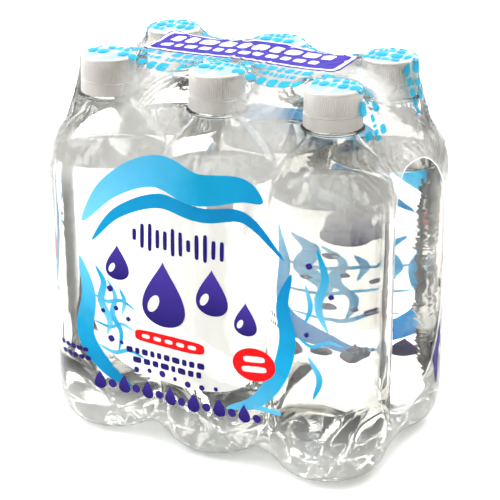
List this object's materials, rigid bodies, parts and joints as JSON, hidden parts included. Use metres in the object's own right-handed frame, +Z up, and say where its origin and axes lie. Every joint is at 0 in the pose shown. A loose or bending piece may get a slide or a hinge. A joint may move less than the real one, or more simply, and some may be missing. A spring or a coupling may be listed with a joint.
{
  "type": "film-wrapped pack of soda water bottles",
  "caption": "Retail pack of small clear soda water bottles in two rows, held together by a clear shrink film sleeve with an oval opening at each end.",
  "frame": {"origin": "middle of the underside, on the ground", "axes": "+X along the longer rows of bottles, towards an open end of the sleeve; +Y from the printed front face to the back; +Z up"},
  "size_m": [0.2082, 0.1366, 0.2147],
  "materials": {
    "clear_pet": "clear, glossy, slightly cool PET",
    "soda_water": "clear colourless drink",
    "white_plastic": "satin white polyethylene with fine upright ribs",
    "clear_film": "thin glossy clear film, printed in bright blue, purple, red and white"
  },
  "bodies": {
    "root": {"bottle_front_left": "clear_pet", "bottle_front_middle": "clear_pet", "bottle_front_right": "clear_pet", "bottle_back_left": "clear_pet", "bottle_back_middle": "clear_pet", "bottle_back_right": "clear_pet", "drink_front_left": "soda_water", "drink_front_middle": "soda_water", "drink_front_right": "soda_water", "drink_back_left": "soda_water", "drink_back_middle": "soda_water", "drink_back_right": "soda_water", "cap_front_left": "white_plastic", "cap_front_middle": "white_plastic", "cap_front_right": "white_plastic", "cap_back_left": "white_plastic", "cap_back_middle": "white_plastic", "cap_back_right": "white_plastic", "film": "clear_film"}
  },
  "joints": []
}
